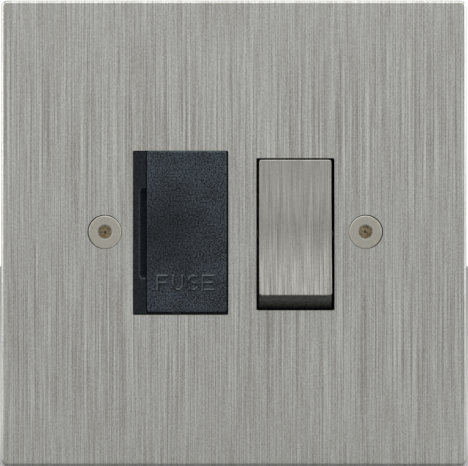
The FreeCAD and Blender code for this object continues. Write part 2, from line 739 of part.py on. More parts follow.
def fuse():
    at = ("fuse_middle", "fuse_depth")
    middle = "fuse_window_rise"
    wall = "fuse_cap_radius - fuse_barrel_radius"
    barrel = rod("FuseBarrel", "z", "fuse_barrel_radius", at, *about(middle, "fuse_half_length - 0.2"))
    piece(barrel, "fuse_barrel")
    for word, sign in ENDS:
        shell = rod("CapShell_" + word, "z", "fuse_cap_radius", at,
                    *row(sign, "fuse_half_length - fuse_cap_length", "fuse_half_length", middle))
        inside = rod("CapInside_" + word, "z", "fuse_cap_radius - 0.9 * (%s)" % wall, at,
                     *row(sign, "fuse_half_length - fuse_cap_length - 1", "fuse_half_length - 0.2", middle))
        piece(cut("FuseCap_" + word, shell, [inside]), "fuse_cap_" + word)


# Fuse clips: two cheeks with outward lips on a base strip. The lower one runs on to the load line terminal.
def fuse_clip(word, sign):
    span = row(sign, "clip_middle - clip_width / 2", "clip_middle + clip_width / 2", "fuse_window_rise")
    base = ("split_depth - clip_sheet", "split_depth")
    inner = "fuse_cap_radius + cheek_gap"
    solids = [box("ClipBase_" + word, about("fuse_middle", inner + " + clip_sheet"), base, span)]
    faces = (inner, inner + " + clip_sheet")
    for side, way in SIDES:
        cheek = ["fuse_middle + %d * (%s)" % (way, text) for text in faces]
        lip = ["fuse_middle + %d * (%s + lip_step)" % (way, text) for text in faces]
        if way < 0:
            cheek.reverse()
            lip.reverse()
        solids.append(box("Cheek_%s_%s" % (side, word), cheek, ("fuse_depth - 2.7", "split_depth"), span))
        solids.append(box("Lip_%s_%s" % (side, word), lip, ("fuse_depth - 3.5", "fuse_depth - 2.1"), span))
    if word == "lower":
        across = about("fuse_middle", BLADE)
        solids.append(box("TailRun", across, base,
                          ("brass_sheet - terminal_inner", "fuse_window_rise - clip_middle")))
        solids.append(box("TailBlade", across, (base[0], "blade_end"), strap_span(-1)))
    piece(join("FuseClip_" + word, solids), "fuse_clip_" + word)


# Link from the upper clip, across behind the divider, to the line contact's bracket.
def line_link():
    heights = ("link_low", "link_low + contact_width")
    piece(join("LineLink", [
        box("LinkRiser", about("fuse_middle", "brass_sheet / 2"), ("split_depth", "bracket_back"), heights),
        box("LinkRun", ("fuse_middle - brass_sheet / 2", "line_x + " + BLADE),
            ("bracket_front", "bracket_back"), heights),
    ]), "line_link")


# Brackets with a knife edge on which the moving contacts rock, and the fixed contacts.
def pivot_bracket(word, x):
    if word == "line":
        foot = ("rocker_drop - bracket_foot", "link_low")
    else:
        foot = ("-terminal_inner", "rocker_drop + bracket_foot")
    post_front = "contact_pivot_depth + edge_gap + edge_height"
    base = box("BracketBase_" + word, about(x, BLADE), ("bracket_front", "bracket_back"), foot)
    post = box("BracketPost_" + word, about(x, BLADE), (post_front, "bracket_front + 0.2"),
               about("rocker_drop", "bracket_half"))
    edge = doc.addObject("Part::Wedge", "BracketEdge_" + word)
    edge.Placement = FreeCAD.Placement(V(), FreeCAD.Rotation(V(0, 0, 1), V(0, -1, 0), V(1, 0, 0), "XYZ"))
    wedge = {
        "Xmin": "0",
        "Xmax": "2 * bracket_half",
        "X2min": "bracket_half - 0.01",
        "X2max": "bracket_half + 0.01",
        "Ymin": "0",
        "Ymax": "edge_height",
        "Zmin": "0",
        "Zmax": "contact_width",
        "Z2min": "0",
        "Z2max": "contact_width",
        "Placement.Base.x": "%s - %s" % (x, BLADE),
        "Placement.Base.y": post_front,
        "Placement.Base.z": "rocker_drop - bracket_half",
    }
    for prop, text in wedge.items():
        drive(edge, prop, text)
    piece(join("PivotBracket_" + word, [base, post, edge]), "pivot_bracket_" + word)


def fixed_contact(word, x):
    height = "rocker_drop + contact_reach * %.5f" % math.cos(math.radians(size("contact_tilt")))
    strip = box("FixedBlade_" + word, about(x, BLADE), ("fixed_front", "fixed_front + brass_sheet"),
                (height + " - fixed_button_radius - 0.3", "terminal_inner"))
    button = rod("FixedButton_" + word, "y", "fixed_button_radius", (x, height),
                 "fixed_front - button_height", "fixed_front + brass_sheet / 4")
    piece(join("FixedContact_" + word, [strip, button]), "fixed_contact_" + word)


def moving_contact(word, x):
    """Drawn about its pivot and set at the open tilt."""
    bar = box("Bar_" + word, about("0", BLADE), ("-brass_sheet", "0"), about("0", "bar_half"))
    button = rod("MovingButton_" + word, "y", "button_radius", (0, "contact_reach"),
                 "-brass_sheet / 4", "brass_sheet")
    contact = join("MovingContact_" + word, [bar, button])
    contact.Placement = FreeCAD.Placement(V(), FreeCAD.Rotation(V(1, 0, 0), size("contact_tilt")))
    drive(contact, "Placement.Base.x", x)
    drive(contact, "Placement.Base.y", "contact_pivot_depth")
    drive(contact, "Placement.Base.z", "rocker_drop")
    piece(contact, "moving_contact_" + word)


# Terminals, their clamp screws and the two straps that earth the frame.
def terminal(word, x, sign):
    heights = row(sign, "terminal_inner", "terminal_outer")
    middle = "%d * (terminal_inner + terminal_outer) / 2" % sign
    block = box("Block_" + word, about(x, "terminal_width / 2"), ("terminal_front", "terminal_back"), heights)
    holes = [
        rod("WireBore_" + word, "z", "wire_hole_radius", (x, "wire_depth"),
            heights[0] + " - 1", heights[1] + " + 1"),
        rod("ClampBore_" + word, "y", "clamp_radius + shank_gap", (x, middle),
            "wire_depth", "terminal_back + 1"),
    ]
    piece(cut("Terminal_" + word, block, holes), "terminal_" + word)
    screw = join("ClampBlank_" + word, [
        rod("ClampShank_" + word, "y", "clamp_radius", (x, middle), "wire_depth + wire_hole_radius + 0.25",
            "terminal_back + 0.2"),
        rod("ClampHead_" + word, "y", "clamp_head", (x, middle),
            "terminal_back", "terminal_back + clamp_head_height"),
    ])
    slot = box("ClampSlot_" + word, about(x, "clamp_head + 0.3"),
               ("terminal_back + clamp_head_height - slot_depth", "terminal_back + clamp_head_height + 1"),
               about(middle, "slot_width / 2"))
    piece(cut("ClampScrew_" + word, screw, [slot]), "clamp_screw_" + word)
    if "earth" in word:
        strap = box("EarthStrap_" + word, about(x, BLADE), (BEHIND_FRAME, "blade_end"), strap_span(sign))
        piece(strap, "earth_strap_" + word.split("_")[0])


# Four screws hold both housings to the frame from behind.
def housing_screw(word, sx, sz):
    at = corner_at(sx, sz)
    seat = "back_depth - housing_head_height - 0.6"
    screw = join("HousingBlank_" + word, [
        rod("HousingShank_" + word, "y", "shank_radius", at, "frame_front - 0.4", seat + " + 0.1"),
        rod("HousingHead_" + word, "y", "housing_head", at, seat, seat + " + housing_head_height"),
    ])
    slot = box("HousingSlot_" + word, about(at[0], "housing_head + 0.3"),
               (seat + " + housing_head_height - slot_depth", "back_depth + 1"),
               about(at[1], "slot_width / 2"))
    piece(cut("HousingScrew_" + word, screw, [slot]), "housing_screw_" + word)


# Rocker and its steel cap, drawn about the rocker's pivot and set at the off tilt.
def set_on_pivot(solid, x="rocker_middle"):
    solid.Placement = FreeCAD.Placement(V(), FreeCAD.Rotation(V(1, 0, 0), -size("off_tilt")))
    drive(solid, "Placement.Base.x", x)
    drive(solid, "Placement.Base.y", "pivot_depth")
    drive(solid, "Placement.Base.z", "rocker_drop")
    return solid


def arc(one, middle, other):
    return Part.Arc(V(*one, 0), V(*middle, 0), V(*other, 0))


def line(one, other):
    return Part.LineSegment(V(*one, 0), V(*other, 0))


def mirror(point):
    return (point[0], -point[1])


def side_profile(body, name, profile, half_width):
    """A sketch in the plane of Y and Z that starts at the body's left side."""
    sketch = sketch_on(body, name, "YZ_Plane", (0, 0, "-(%s)" % half_width))
    for item in profile:
        sketch.addGeometry(item, False)
    return sketch


DISH_CENTRE = size("dish_radius") + size("dish_rise")
CAP_FACE = size("dish_radius")
BODY_FACE = CAP_FACE + size("cap_thickness")
CAP_HALF = size("rocker_window_height") / 2 - size("cap_end_gap")
DRUM = size("drum_radius")


def face_y(z, radius):
    """Depth of a dished face at a height."""
    return math.sqrt(radius ** 2 - z ** 2) - DISH_CENTRE


def drum_point(z, radius):
    return (-math.sqrt(radius ** 2 - z ** 2), z)


def rocker():
    """Dished front face, round ends, hollow back, two spring posts and trunnions."""
    body = doc.addObject("PartDesign::Body", "RockerBody")
    half = CAP_HALF - size("cap_overhang")
    front = (face_y(half, BODY_FACE), half)
    shoulder = drum_point(half + size("shoulder_step"), DRUM)
    back = (-size("drum_back"), math.sqrt(DRUM ** 2 - size("drum_back") ** 2))
    middle = (-DRUM * math.sin(0.28), DRUM * math.cos(0.28))
    outside = side_profile(body, "RockerDrumSketch", [
        arc(mirror(front), (face_y(0, BODY_FACE), 0), front),
        line(front, shoulder),
        arc(shoulder, middle, back),
        line(back, mirror(back)),
        arc(mirror(back), mirror(middle), mirror(shoulder)),
        line(mirror(shoulder), mirror(front)),
    ], "rocker_width / 2")
    feature(body, "Pad", "RockerDrum", outside, "rocker_width")
    wall = size("rocker_wall")
    shell = DRUM - wall
    inner_front = (face_y(half - wall, BODY_FACE + wall), half - wall)
    inner_back = (0.1 - size("drum_back"), math.sqrt(shell ** 2 - (0.1 - size("drum_back")) ** 2))
    inner_middle = (-shell * math.sin(0.3), shell * math.cos(0.3))
    inside = side_profile(body, "HollowSketch", [
        arc(mirror(inner_front), (face_y(0, BODY_FACE + wall), 0), inner_front),
        arc(inner_front, inner_middle, inner_back),
        line(inner_back, mirror(inner_back)),
        arc(mirror(inner_back), mirror(inner_middle), mirror(inner_front)),
    ], "rocker_width / 2 - rocker_wall")
    feature(body, "Pocket", "RockerHollow", inside, "rocker_width - 2 * rocker_wall", True)
    solids = [body]
    for side, sign in SIDES:
        reach = ["%d * rocker_width / 2" % sign, "%d * (rocker_width / 2 - rocker_wall)" % sign]
        pin = ["%d * (rocker_width / 2 + trunnion_length)" % sign, "%d * (rocker_width / 2 - 0.5)" % sign]
        if sign > 0:
            reach.reverse()
            pin.reverse()
        solids.append(rod("Boss_" + side, "x", "boss_radius", (0, 0), *reach))
        solids.append(rod("Trunnion_" + side, "x", "trunnion_radius", (0, 0), *pin))
    bores = []
    for word, sign in (("line", -1), ("neutral", 1)):
        at = ("%d * pole_offset" % sign, 0)
        solids.append(rod("Post_" + word, "y", "post_radius", at, "post_front", "post_back"))
        bores.append(rod("PostBore_" + word, "y", "stem_radius + shank_gap", at,
                         "post_front + post_floor", "post_back + 1"))
    piece(set_on_pivot(cut("Rocker", join("RockerBlank", solids), bores)), "rocker")


def rocker_cap():
    body = doc.addObject("PartDesign::Body", "CapBody")
    front = (face_y(CAP_HALF, CAP_FACE), CAP_HALF)
    back = (face_y(CAP_HALF, BODY_FACE), CAP_HALF)
    outline = side_profile(body, "CapSketch", [
        arc(mirror(front), (face_y(0, CAP_FACE), 0), front),
        line(front, back),
        arc(mirror(back), (face_y(0, BODY_FACE), 0), back),
        line(mirror(back), mirror(front)),
    ], "rocker_cap_width / 2")
    pad = feature(body, "Pad", "CapPad", outline, "rocker_cap_width")
    side = size("rocker_cap_width") / 2 - 0.01
    corners = dress(body, "CapCorners", pad, "cap_corner",
                    lambda e: along(e, V(0, 1, 0)) and abs(e.CenterOfMass.x) > side)
    rim = front[0] + 0.05
    deepest = face_y(0, CAP_FACE) - 0.05
    dress(body, "CapEdge", corners, "cap_edge",
          lambda e: e.BoundBox.YMin < rim and e.CenterOfMass.y < deepest and not along(e, V(0, 1, 0)))
    piece(set_on_pivot(body), "rocker_cap")


# Spring-loaded plungers in the rocker's posts.
SPRING_TURNS = 2.5


def plunger(word, sign):
    x = "rocker_middle + %d * pole_offset" % sign
    nose = "tip_depth - nose_length - tip_length"
    spring_start = "post_front + post_floor + shank_gap + spring_wire / 2"
    shape = join("Plunger_" + word, [
        rod("PlungerStem_" + word, "y", "stem_radius", (0, 0), "stem_low", nose),
        rod("PlungerNose_" + word, "y", "nose_radius", (0, 0), nose, "tip_depth - tip_length"),
        cone("PlungerTip_" + word, "y", "nose_radius", "nose_radius / 3", (0, 0), "tip_depth - tip_length",
             "tip_depth"),
    ])
    piece(set_on_pivot(shape, x), "plunger_" + word)
    helix = doc.addObject("Part::Helix", "SpringPath_" + word)
    drive(helix, "Pitch", "spring_pitch")
    drive(helix, "Height", "%s * spring_pitch" % SPRING_TURNS)
    drive(helix, "Radius", "spring_radius")
    helix.Placement = FreeCAD.Placement(V(), TURN["y"])
    drive(helix, "Placement.Base.y", spring_start)
    wire = doc.addObject("Part::RegularPolygon", "SpringWire_" + word)
    wire.Polygon = 4
    drive(wire, "Circumradius", "spring_wire")
    drive(wire, "Placement.Base.x", "spring_radius")
    drive(wire, "Placement.Base.y", spring_start)
    spring = doc.addObject("Part::Sweep", "Spring_" + word)
    spring.Sections = [wire]
    spring.Spine = (helix, [])
    spring.Solid = True
    spring.Frenet = True
    piece(set_on_pivot(spring, x), "plunger_spring_" + word)


front_plate()
for side, sign in SIDES:
    plate_screw(side, sign)
    frame_bush(side, sign)
mounting_frame()
front_housing()
rear_housing()
fuse_carrier()
fuse()
for word, sign in ENDS:
    fuse_clip(word, sign)
line_link()
for word, x in POLES:
    pivot_bracket(word, x)
    fixed_contact(word, x)
    moving_contact(word, x)
for word, x, sign in TERMINALS:
    terminal(word, x, sign)
for word, sx, sz in CORNERS:
    housing_screw(word, sx, sz)
rocker()
rocker_cap()
for word, sign in (("line", -1), ("neutral", 1)):
    plunger(word, sign)

doc.recompute()
for thing in doc.Objects:
    if "Invalid" in thing.State or "Error" in thing.State:
        raise RuntimeError("not computed: " + thing.Name)
for solid in PIECES:
    shape = solid.Shape
    if shape.isNull() or not shape.isValid() or len(shape.Solids) != 1:
        raise RuntimeError("%s is not one valid solid: %d" % (solid.Label, len(shape.Solids)))
    shape.exportStep("parts/" + solid.Label + ".step")
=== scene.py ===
import bpy
import math
import mathutils
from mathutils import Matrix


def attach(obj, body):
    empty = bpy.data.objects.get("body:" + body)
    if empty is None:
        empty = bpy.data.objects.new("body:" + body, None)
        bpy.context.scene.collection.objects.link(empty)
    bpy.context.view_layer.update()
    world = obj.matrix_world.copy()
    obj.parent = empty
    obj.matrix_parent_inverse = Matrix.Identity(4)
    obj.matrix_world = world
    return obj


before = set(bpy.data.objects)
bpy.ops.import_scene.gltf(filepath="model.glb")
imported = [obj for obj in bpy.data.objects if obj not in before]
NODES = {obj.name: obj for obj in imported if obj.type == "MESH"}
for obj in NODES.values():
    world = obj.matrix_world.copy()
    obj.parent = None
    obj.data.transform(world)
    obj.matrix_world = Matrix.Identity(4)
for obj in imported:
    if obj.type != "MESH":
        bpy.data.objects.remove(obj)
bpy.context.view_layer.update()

MM = 0.001
PLATE_FRONT = -0.002
PLATE_HALF = 0.043

# Sockets of a Mix node for colours: its names repeat, so they are reached by number.
MIX_FACTOR, MIX_ONE, MIX_OTHER, MIX_RESULT = 0, 6, 7, 2


# Node helpers

def new_material(name):
    mat = bpy.data.materials.new(name)
    mat.use_nodes = True
    tree = mat.node_tree
    shader = next(n for n in tree.nodes if n.type == "BSDF_PRINCIPLED")
    return mat, tree, shader


def feed(tree, node, inputs):
    """Link a socket, or set a plain value, on each named input."""
    for key, value in inputs.items():
        if isinstance(value, bpy.types.NodeSocket):
            tree.links.new(value, node.inputs[key])
        else:
            node.inputs[key].default_value = value


def add(tree, kind, inputs=(), **props):
    node = tree.nodes.new("ShaderNode" + kind)
    for key, value in props.items():
        setattr(node, key, value)
    feed(tree, node, dict(inputs))
    return node


def even(cells):
    """The same number of cells per metre along each axis."""
    return (cells, cells, cells)


def noise(tree, place, stretch, detail=2.0, rough=0.5, shift=(0.0, 0.0, 0.0)):
    """Noise on object coordinates. stretch holds the cells per metre along each axis."""
    spot = add(tree, "Mapping", {"Vector": place, "Scale": stretch, "Location": shift})
    made = add(tree, "TexNoise", {
        "Vector": spot.outputs["Vector"], "Scale": 1.0, "Detail": detail, "Roughness": rough})
    return made.outputs["Fac"]


def math_node(tree, operation, one, other):
    return add(tree, "Math", {0: one, 1: other}, operation=operation).outputs[0]


def plus(tree, one, other):
    return math_node(tree, "ADD", one, other)


def times(tree, one, other):
    return math_node(tree, "MULTIPLY", one, other)


def spread(tree, value, low, high, out_low, out_high):
    made = add(tree, "MapRange", {
        "Value": value, "From Min": low, "From Max": high, "To Min": out_low, "To Max": out_high})
    return made.outputs["Result"]


def blended(tree, blend, one, other, factor=1.0):
    made = add(tree, "Mix", {MIX_FACTOR: factor, MIX_ONE: one, MIX_OTHER: other},
               data_type="RGBA", blend_type=blend)
    return made.outputs[MIX_RESULT]


def tinted(tree, colour, factor):
    """A colour times a grey factor."""
    return blended(tree, "MULTIPLY", (*colour, 1.0), factor)


def object_place(tree):
    return add(tree, "TexCoord").outputs["Object"]


def split(tree, vector):
    return add(tree, "SeparateXYZ", {"Vector": vector}).outputs


def facing(tree, axis):
    """How squarely the surface faces along an axis of its object, from 0 to 1."""
    way = split(tree, add(tree, "TexCoord").outputs["Normal"])
    return add(tree, "Math", {0: way[axis]}, operation="ABSOLUTE").outputs[0]


def bumped(tree, shader, height, strength, distance, edge=0.0):
    """Feed a height into the shader's normal, on top of softened edges where edge is given."""
    made = add(tree, "Bump", {"Height": height, "Strength": strength, "Distance": distance})
    if edge:
        soft = add(tree, "Bevel", {"Radius": edge}, samples=4)
        tree.links.new(soft.outputs["Normal"], made.inputs["Normal"])
    tree.links.new(made.outputs["Normal"], shader.inputs["Normal"])


def distance_to(tree, axes, centre):
    """Distance from a centre (x, z) across the plate, or in height alone where its x is None."""
    squares = []
    for axis, middle in zip("XZ", centre):
        if middle is not None:
            aside = math_node(tree, "SUBTRACT", axes[axis], middle)
            squares.append(times(tree, aside, aside))
    total = plus(tree, *squares) if len(squares) == 2 else squares[0]
    return math_node(tree, "POWER", total, 0.5)


def shade_falloff(tree, place, centre, near, far, low, high):
    """A painted shade: a factor that falls from high to low towards a centre. An x of None leaves a level
    band.
    """
    return spread(tree, distance_to(tree, split(tree, place), centre), near, far, low, high)


# Materials

# Cells per metre of the steel's patterns: across the grain, or along each axis
LINE_CELLS = 5200.0
HAIR_CELLS = 6400.0
FLECK_CELLS = (5600.0, 5600.0, 2600.0)
STREAK_CELLS = (900.0, 14.0, 14.0)
STEEL_ROUGH = (0.30, 0.40)


def brushed_steel(name, dark, light, shift, runs, weights, lift=None, side_shade=1.0, shade_falloff_args=None):
    """Satin steel with a vertical grain, from a warm dark to a cooler light.

    runs holds how often per metre the long lines and the hair lines change along the grain, and
    weights how strong the lines, the hair and the flecks are. lift holds two heights in metres,
    between which the contrast grows towards the lower one. side_shade is the painted shade of faces
    turned to the sides, and shade_falloff_args the arguments of shade_falloff, a painted shade.
    """
    mat, tree, shader = new_material(name)
    place = object_place(tree)
    line = noise(tree, place, (LINE_CELLS, runs[0], runs[0]), 0.0, 0.5, (shift, 3.0, 1.0))
    hair = noise(tree, place, (HAIR_CELLS, runs[1], runs[1]), 1.0, 0.5, (shift, 0.0, 0.0))
    fleck = noise(tree, place, FLECK_CELLS, 0.0, 0.5, (shift, 7.0, 3.0))
    streak = noise(tree, place, STREAK_CELLS, 2.0, 0.5, (shift, 5.0, 2.0))
    tone = 0.0
    for pattern, weight in zip((line, hair, fleck), weights):
        tone = plus(tree, tone, spread(tree, pattern, 0.15, 0.85, -weight, weight))
    if lift:
        tone = times(tree, tone, spread(tree, split(tree, place)["Z"], *lift, 0.6, 1.15))
    tone = plus(tree, tone, spread(tree, streak, 0.2, 0.8, 0.38, 0.62))
    # Painted shade: faces turned to the sides of the object are darkened.
    shade = spread(tree, facing(tree, "X"), 0.1, 0.6, 1.0, side_shade)
    # Painted shade: the colour darkens towards a centre or a level band, and lightens away from it.
    if shade_falloff_args:
        shade = times(tree, shade, shade_falloff(tree, place, *shade_falloff_args))
    colour = blended(tree, "MIX", (*dark, 1.0), (*light, 1.0), tone)
    feed(tree, shader, {
        "Base Color": blended(tree, "MULTIPLY", colour, shade),
        "Metallic": 1.0,
        "Roughness": spread(tree, line, 0.3, 0.7, *STEEL_ROUGH),
    })
    bumped(tree, shader, hair, 0.25, 0.000008)
    return mat


def metal(name, colour, rough):
    """Plain metal with a fine surface grain and a slow, faint change of tone."""
    mat, tree, shader = new_material(name)
    place = object_place(tree)
    fine = noise(tree, place, even(900.0), 4.0, 0.6)
    cloud = noise(tree, place, even(140.0), 2.0, 0.5, (4.0, 1.0, 2.0))
    feed(tree, shader, {
        "Base Color": tinted(tree, colour, spread(tree, cloud, 0.3, 0.7, 0.88, 1.1)),
        "Metallic": 1.0,
        "Roughness": spread(tree, fine, 0.3, 0.7, rough - 0.06, rough + 0.1),
    })
    bumped(tree, shader, fine, 0.1, 0.00002, 0.00012)
    return mat


def moulding(name, colour, rough, pitch, depth, mottle=0.12, edge=0.00015, gloss=0.5, edge_highlight=1.0, shade_falloff_args=None):
    """Moulded plastic: a fine surface grain, a slow change of tone and softened edges.

    pitch and depth are the grain's, and mottle is the strength of its neutral flecks. edge_highlight is
    the painted highlight on tilted faces near the front, and shade_falloff_args the arguments of
    shade_falloff, a painted shade.
    """
    mat, tree, shader = new_material(name)
    place = object_place(tree)
    grain = noise(tree, place, even(1 / pitch), 2.0, 0.6)
    slow = noise(tree, place, even(1 / (12 * pitch)), 2.0, 0.5, (2.0, 7.0, 1.0))
    level = sum(colour) / 3
    fleck = spread(tree, grain, 0.35, 0.65, -mottle * level, mottle * level)
    tone = spread(tree, slow, 0.3, 0.7, 1 - mottle / 5, 1 + mottle / 5)
    # Painted highlight: faces tilted away from the front, near the front, such as edges and lips, are
    # lightened.
    near_front = spread(tree, split(tree, place)["Y"], 0.0, MM, 1.0, 0.0)
    tilted_highlight = spread(tree, facing(tree, "Y"), 0.8, 0.995, edge_highlight - 1, 0.0)
    tone = times(tree, tone, plus(tree, times(tree, tilted_highlight, near_front), 1.0))
    if shade_falloff_args:
        # Painted shade: grain and tone darken towards a centre and lighten away from it.
        fleck, tone = (times(tree, value, shade_falloff(tree, place, *shade_falloff_args)) for value in (fleck, tone))
    feed(tree, shader, {
        "Base Color": blended(tree, "ADD", tinted(tree, colour, tone), fleck),
        "Roughness": spread(tree, grain, 0.3, 0.7, rough - 0.06, rough + 0.08),
        "Specular IOR Level": gloss,
    })
    bumped(tree, shader, grain, 0.6, depth, edge)
    return mat


# The plate screws' heads, in metres
SCREW_HEIGHT = 0.0002
SOCKET_REACH = 0.00120
FLARE_REACH = 0.0018
RIM_HIGHLIGHT_RING = (0.00284, 0.00300)
HEAD_FRONT = -0.00198
HEAD_COLOUR = (0.394, 0.382, 0.333)
# The brown of the unplated recess, made darker as painted shade inside the recess.
SOCKET_BROWN_AND_SHADE = (0.235, 0.190, 0.122)


def plate_screw_metal(name, centre_x):
    """Nickel head, faintly turned, with a painted highlight on its outer ring, a duller flare darkened as
    painted shade, and the brown, unplated inside of its recess darkened further as painted shade.
    """
    mat, tree, shader = new_material(name)
    place = object_place(tree)
    axes = split(tree, place)
    reach = distance_to(tree, axes, (centre_x, SCREW_HEIGHT))
    sunk = math_node(tree, "GREATER_THAN", axes["Y"], HEAD_FRONT + 0.00001)
    inside = times(tree, math_node(tree, "LESS_THAN", reach, SOCKET_REACH), sunk)
    # The flare: duller in roughness, and darkened in colour as painted shade.
    flare_dull_and_shaded = times(tree, math_node(tree, "LESS_THAN", reach, FLARE_REACH), sunk)
    flare_dull_and_shaded = math_node(tree, "SUBTRACT", flare_dull_and_shaded, inside)
    grain = noise(tree, place, even(1500.0), 3.0, 0.6)
    rust = noise(tree, place, even(2600.0), 3.0, 0.7, (3.0, 1.0, 5.0))
    rings = add(tree, "CombineXYZ", {"X": times(tree, reach, 5200.0)}).outputs[0]
    turned = add(tree, "TexNoise", {"Vector": rings, "Scale": 1.0, "Detail": 1.0}).outputs["Fac"]
    tone = plus(tree, spread(tree, grain, 0.3, 0.7, 0.95, 1.05), spread(tree, turned, 0.3, 0.7, -0.03, 0.03))
    tone = times(tree, tone, spread(tree, flare_dull_and_shaded, 0.0, 1.0, 1.0, 0.72))
    # Painted highlight: the outer ring of the head is lightened.
    tone = times(tree, tone, spread(tree, reach, *RIM_HIGHLIGHT_RING, 1.0, 1.4))
    socket_tone = spread(tree, rust, 0.35, 0.65, 0.45, 1.5)
    feed(tree, shader, {
        "Base Color": blended(tree, "MIX", tinted(tree, HEAD_COLOUR, tone),
                              tinted(tree, SOCKET_BROWN_AND_SHADE, socket_tone), inside),
        "Metallic": 1.0,
        "Roughness": plus(tree, spread(tree, grain, 0.3, 0.7, 0.28, 0.4),
                          spread(tree, flare_dull_and_shaded, 0.0, 1.0, 0.0, 0.35)),
    })
    bumped(tree, shader, grain, 0.2, 0.00001, 0.00006)
    return mat


def dress(mat, *names):
    for name in names:
        slots = NODES[name].material_slots
        if not slots:
            NODES[name].data.materials.append(mat)
        for place in slots:
            place.material = mat


TERMINALS = ("supply_earth", "supply_line", "supply_neutral", "load_line", "load_earth", "load_neutral")
CORNERS = ("top_left", "top_right", "bottom_left", "bottom_right")

plate_steel = brushed_steel(
    "plate_steel", (0.258, 0.245, 0.221), (0.546, 0.558, 0.532), shift=0.0,
    runs=(26.0, 110.0), weights=(0.47, 0.35, 0.27))
# The cap's side faces and a level band across its middle are darkened: painted shade.
cap_steel = brushed_steel(
    "cap_steel", (0.208, 0.196, 0.177), (0.421, 0.419, 0.393), shift=31.0,
    runs=(80.0, 210.0), weights=(0.44, 0.34, 0.16), lift=(0.012, -0.012), side_shade=0.6,
    shade_falloff_args=((None, 0.0010), 0.0006, 0.0068, 0.885, 1.07))
zinc = metal("zinc_plate", (0.52, 0.53, 0.53), 0.34)
brass = metal("brass", (0.66, 0.48, 0.19), 0.28)
clamp_metal = metal("clamp_screw_metal", (0.58, 0.55, 0.45), 0.3)
fuse_metal = metal("fuse_cap_metal", (0.62, 0.61, 0.58), 0.22)
ceramic = moulding("ceramic", (0.80, 0.78, 0.70), 0.55, 0.0004, 0.00002, mottle=0.03)
plunger_white = moulding("plunger_white", (0.78, 0.77, 0.72), 0.4, 0.0006, 0.00001, mottle=0.03)
black_moulding = moulding(
    "black_moulding", (0.0100, 0.0118, 0.0136), 0.35, 0.0005, 0.000006, mottle=0.15)
# The housing's tilted faces near the front, along the scoop's lip, are lightened: a painted highlight.
front_black = moulding(
    "front_black", (0.0100, 0.0130, 0.0162), 0.27, 0.00035, 0.000012,
    mottle=0.4, edge=0.00008, gloss=0.12, edge_highlight=3.5)
rocker_black = moulding("rocker_black", (0.0460, 0.0490, 0.0435), 0.27, 0.0008, 0.000001, mottle=0.04)
# The drawer's face is darker towards a point on its face and lighter away from it, a painted shade, and its
# tilted edges near the front are lighter, a painted highlight.
drawer_black = moulding(
    "drawer_black", (0.0184, 0.0243, 0.0306), 0.42, 0.00029, 0.00006,
    mottle=1.35, edge=0.00008, gloss=0.18, edge_highlight=1.6,
    shade_falloff_args=((-0.0127, 0.0002), 0.002, 0.0115, 0.56, 1.33))

dress(plate_steel, "front_plate")
dress(cap_steel, "rocker_cap")
dress(plate_screw_metal("screw_left_metal", -0.02384), "plate_screw_left")
dress(plate_screw_metal("screw_right_metal", 0.02440), "plate_screw_right")
dress(zinc, "mounting_frame", "frame_bush_left", "frame_bush_right", "plunger_spring_line",
      "plunger_spring_neutral", *("housing_screw_" + word for word in CORNERS))
dress(brass, "fuse_clip_upper", "fuse_clip_lower", "line_link", "pivot_bracket_line", "pivot_bracket_neutral",
      "fixed_contact_line", "fixed_contact_neutral", "moving_contact_line", "moving_contact_neutral",
      "earth_strap_supply", "earth_strap_load", *("terminal_" + word for word in TERMINALS))
dress(clamp_metal, *("clamp_screw_" + word for word in TERMINALS))
dress(fuse_metal, "fuse_cap_upper", "fuse_cap_lower")
dress(ceramic, "fuse_barrel")
dress(plunger_white, "plunger_line", "plunger_neutral")
dress(black_moulding, "rear_housing")
dress(front_black, "front_housing")
dress(rocker_black, "rocker")
dress(drawer_black, "fuse_carrier")


# Raised letters of the word FUSE on the drawer's face, in mm

FACE_Y = -2.6
LETTER_BEVEL = 0.21
LETTER_STEEP = 1.1
LETTER_LEAN = 0.33
HALF_STROKE = 0.24
STROKE = 2 * HALF_STROKE
TOP, FOOT = -7.63, -10.66
MIDDLE = (TOP + FOOT) / 2
F_LEFT, F_REACH, F_ARM = -14.27, 2.15, 1.95
U_LEFT, U_CENTRE, U_RIGHT = -11.17, -10.33, -9.49
U_STEM_END, U_BOWL_RISE, U_BOWL_WIDE = 0.9, 0.86, 0.84
S_CENTRE, S_WIDE = -7.48, 0.78
E_LEFT, E_REACH, E_ARM = -5.94, 2.42, 2.1
BEND_STEPS = 10


def bend(cx, cz, rx, rz, start, end):
    """Points on part of an ellipse, angles in degrees."""
    turns = [math.radians(start + (end - start) * i / BEND_STEPS) for i in range(BEND_STEPS + 1)]
    return [(cx + rx * math.cos(t), cz + rz * math.sin(t)) for t in turns]


def ribbon(path, half):
    """The closed outline of an open path drawn with a pen of the given half width."""
    left, right = [], []
    for i, (x, z) in enumerate(path):
        before, after = path[max(i - 1, 0)], path[min(i + 1, len(path) - 1)]
        way = math.hypot(after[0] - before[0], after[1] - before[1])
        nx, nz = -(after[1] - before[1]) / way, (after[0] - before[0]) / way
        left.append((x + half * nx, z + half * nz))
        right.append((x - half * nx, z - half * nz))
    return left + right[::-1]


def bar_letter(x, reach, arm):
    """The upper outline of F or E: a stem whose left side is at x, its top bar and its middle arm."""
    low, high = MIDDLE - HALF_STROKE, MIDDLE + HALF_STROKE
    inner = x + STROKE
    return [(x, FOOT), (x, TOP), (x + reach, TOP), (x + reach, TOP - STROKE), (inner, TOP - STROKE),
            (inner, high), (x + arm, high), (x + arm, low), (inner, low)]


